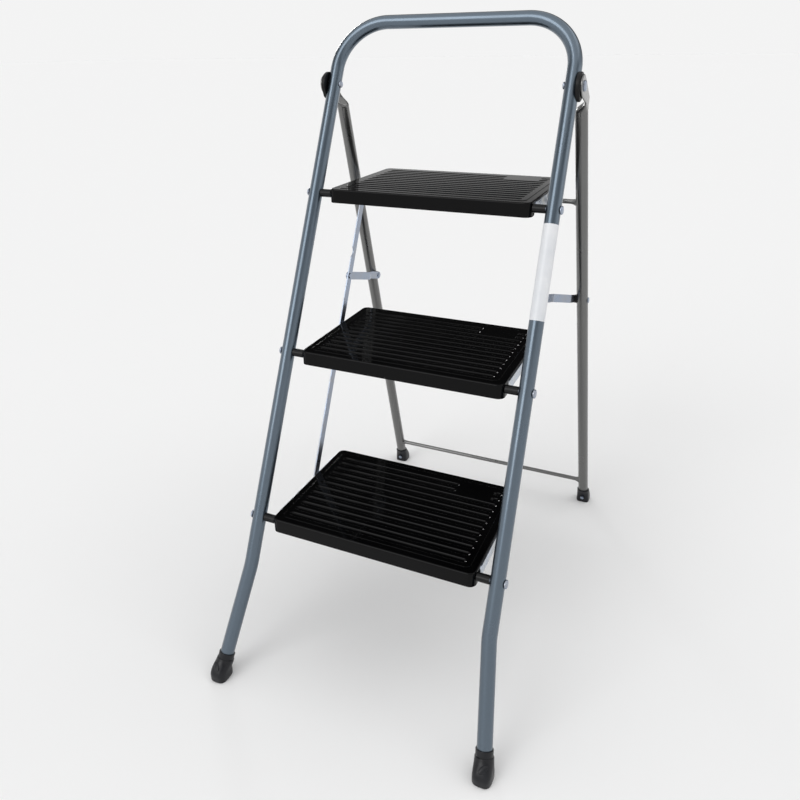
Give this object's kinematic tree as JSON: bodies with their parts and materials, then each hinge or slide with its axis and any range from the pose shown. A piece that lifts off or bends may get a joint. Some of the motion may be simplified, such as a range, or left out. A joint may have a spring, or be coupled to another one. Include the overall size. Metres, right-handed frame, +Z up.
{
  "type": "folding step stool",
  "caption": "Folding step stool with a bent-tube hoop handle, pressed black treads joined by flat tie bars, a folding rear frame and rubber feet.",
  "frame": {"origin": "on the floor, in the middle of the open stool's footprint", "axes": "+Z up, +X to the right of someone climbing, +Y from the front feet to the rear feet"},
  "size_m": [0.4616, 0.7344, 0.989],
  "materials": {
    "front_frame_paint": "metallic blue-grey paint, satin gloss",
    "rear_frame_paint": "darker metallic grey paint, satin gloss",
    "tread_enamel": "gloss black enamel on pressed sheet",
    "sleeve_black": "satin black",
    "foot_rubber": "moulded black rubber, satin",
    "spacer_plastic": "moulded black",
    "label_white": "blank white film",
    "zinc_plated_steel": "bright zinc plating"
  },
  "bodies": {
    "front_frame": {"front_frame_tube": "front_frame_paint", "front_foot_left": "foot_rubber", "front_foot_right": "foot_rubber", "pivot_spacer_left": "spacer_plastic", "pivot_spacer_right": "spacer_plastic", "top_pivot_rivet_left": "zinc_plated_steel", "top_pivot_rivet_right": "zinc_plated_steel", "blank_leg_label": "label_white", "lower_axle": "zinc_plated_steel", "middle_axle": "zinc_plated_steel", "upper_axle": "zinc_plated_steel", "lower_axle_sleeve": "sleeve_black", "middle_axle_sleeve": "sleeve_black", "upper_axle_sleeve": "sleeve_black"},
    "rear_frame": {"rear_leg_left": "rear_frame_paint", "rear_leg_right": "rear_frame_paint", "upper_crossbar": "rear_frame_paint", "lower_crossbar": "rear_frame_paint", "rear_foot_left": "foot_rubber", "rear_foot_right": "foot_rubber", "rear_foot_rivet_left": "zinc_plated_steel", "rear_foot_rivet_right": "zinc_plated_steel", "link_spacer_left": "spacer_plastic", "link_spacer_right": "spacer_plastic", "leg_rivet_left": "zinc_plated_steel", "leg_rivet_right": "zinc_plated_steel"},
    "lower_step": {"lower_tread": "tread_enamel", "lower_side_arm_left": "zinc_plated_steel", "lower_side_arm_right": "zinc_plated_steel"},
    "middle_step": {"middle_tread": "tread_enamel", "middle_side_arm_left": "zinc_plated_steel", "middle_side_arm_right": "zinc_plated_steel"},
    "upper_step": {"upper_tread": "tread_enamel", "upper_side_arm_left": "zinc_plated_steel", "upper_side_arm_right": "zinc_plated_steel"},
    "left_tie": {"tie_bar_left": "zinc_plated_steel", "tie_rivets_left": "zinc_plated_steel", "link_front_rivet_left": "zinc_plated_steel"},
    "left_link": {"rear_link_left": "zinc_plated_steel", "link_rear_rivet_left": "zinc_plated_steel"},
    "right_tie": {"tie_bar_right": "zinc_plated_steel", "tie_rivets_right": "zinc_plated_steel", "link_front_rivet_right": "zinc_plated_steel"},
    "right_link": {"rear_link_right": "zinc_plated_steel", "link_rear_rivet_right": "zinc_plated_steel"}
  },
  "joints": [
    {"name": "rear_frame_fold", "type": "hinge", "parent": "front_frame", "child": "rear_frame", "pos_m": [0, 0.06357, 0.882], "axis": [-1, 0, 0], "range_deg": [0, 41.75]},
    {"name": "lower_step_tilt", "type": "hinge", "parent": "front_frame", "child": "lower_step", "pos_m": [0, -0.2426, 0.2343], "axis": [1, 0, 0], "range_deg": [0, 60.2]},
    {"name": "middle_step_tilt", "type": "hinge", "parent": "front_frame", "child": "middle_step", "pos_m": [0, -0.12915, 0.4743], "axis": [1, 0, 0], "range_deg": [0, 60.2]},
    {"name": "upper_step_tilt", "type": "hinge", "parent": "front_frame", "child": "upper_step", "pos_m": [0, -0.0157, 0.7143], "axis": [1, 0, 0], "range_deg": [0, 60.2]},
    {"name": "left_tie_swing", "type": "hinge", "parent": "middle_step", "child": "left_tie", "pos_m": [0, -0.00115, 0.4703], "axis": [-1, 0, 0], "range_deg": [0, 60.2]},
    {"name": "right_tie_swing", "type": "hinge", "parent": "middle_step", "child": "right_tie", "pos_m": [0, -0.00115, 0.4703], "axis": [-1, 0, 0], "range_deg": [0, 60.2]},
    {"name": "left_link_swing", "type": "hinge", "parent": "left_tie", "child": "left_link", "pos_m": [0, 0.03983, 0.557], "axis": [-1, 0, 0], "range_deg": [0, 93.8]},
    {"name": "right_link_swing", "type": "hinge", "parent": "right_tie", "child": "right_link", "pos_m": [0, 0.03983, 0.557], "axis": [-1, 0, 0], "range_deg": [0, 93.8]}
  ],
  "couplings": [
    {"joint": "lower_step_tilt", "follows": "rear_frame_fold", "ratio": 1.4416},
    {"joint": "middle_step_tilt", "follows": "rear_frame_fold", "ratio": 1.4416},
    {"joint": "upper_step_tilt", "follows": "rear_frame_fold", "ratio": 1.4416},
    {"joint": "left_tie_swing", "follows": "rear_frame_fold", "ratio": 1.4416},
    {"joint": "right_tie_swing", "follows": "rear_frame_fold", "ratio": 1.4416},
    {"joint": "left_link_swing", "follows": "rear_frame_fold", "ratio": 2.2448},
    {"joint": "right_link_swing", "follows": "rear_frame_fold", "ratio": 2.2448}
  ]
}
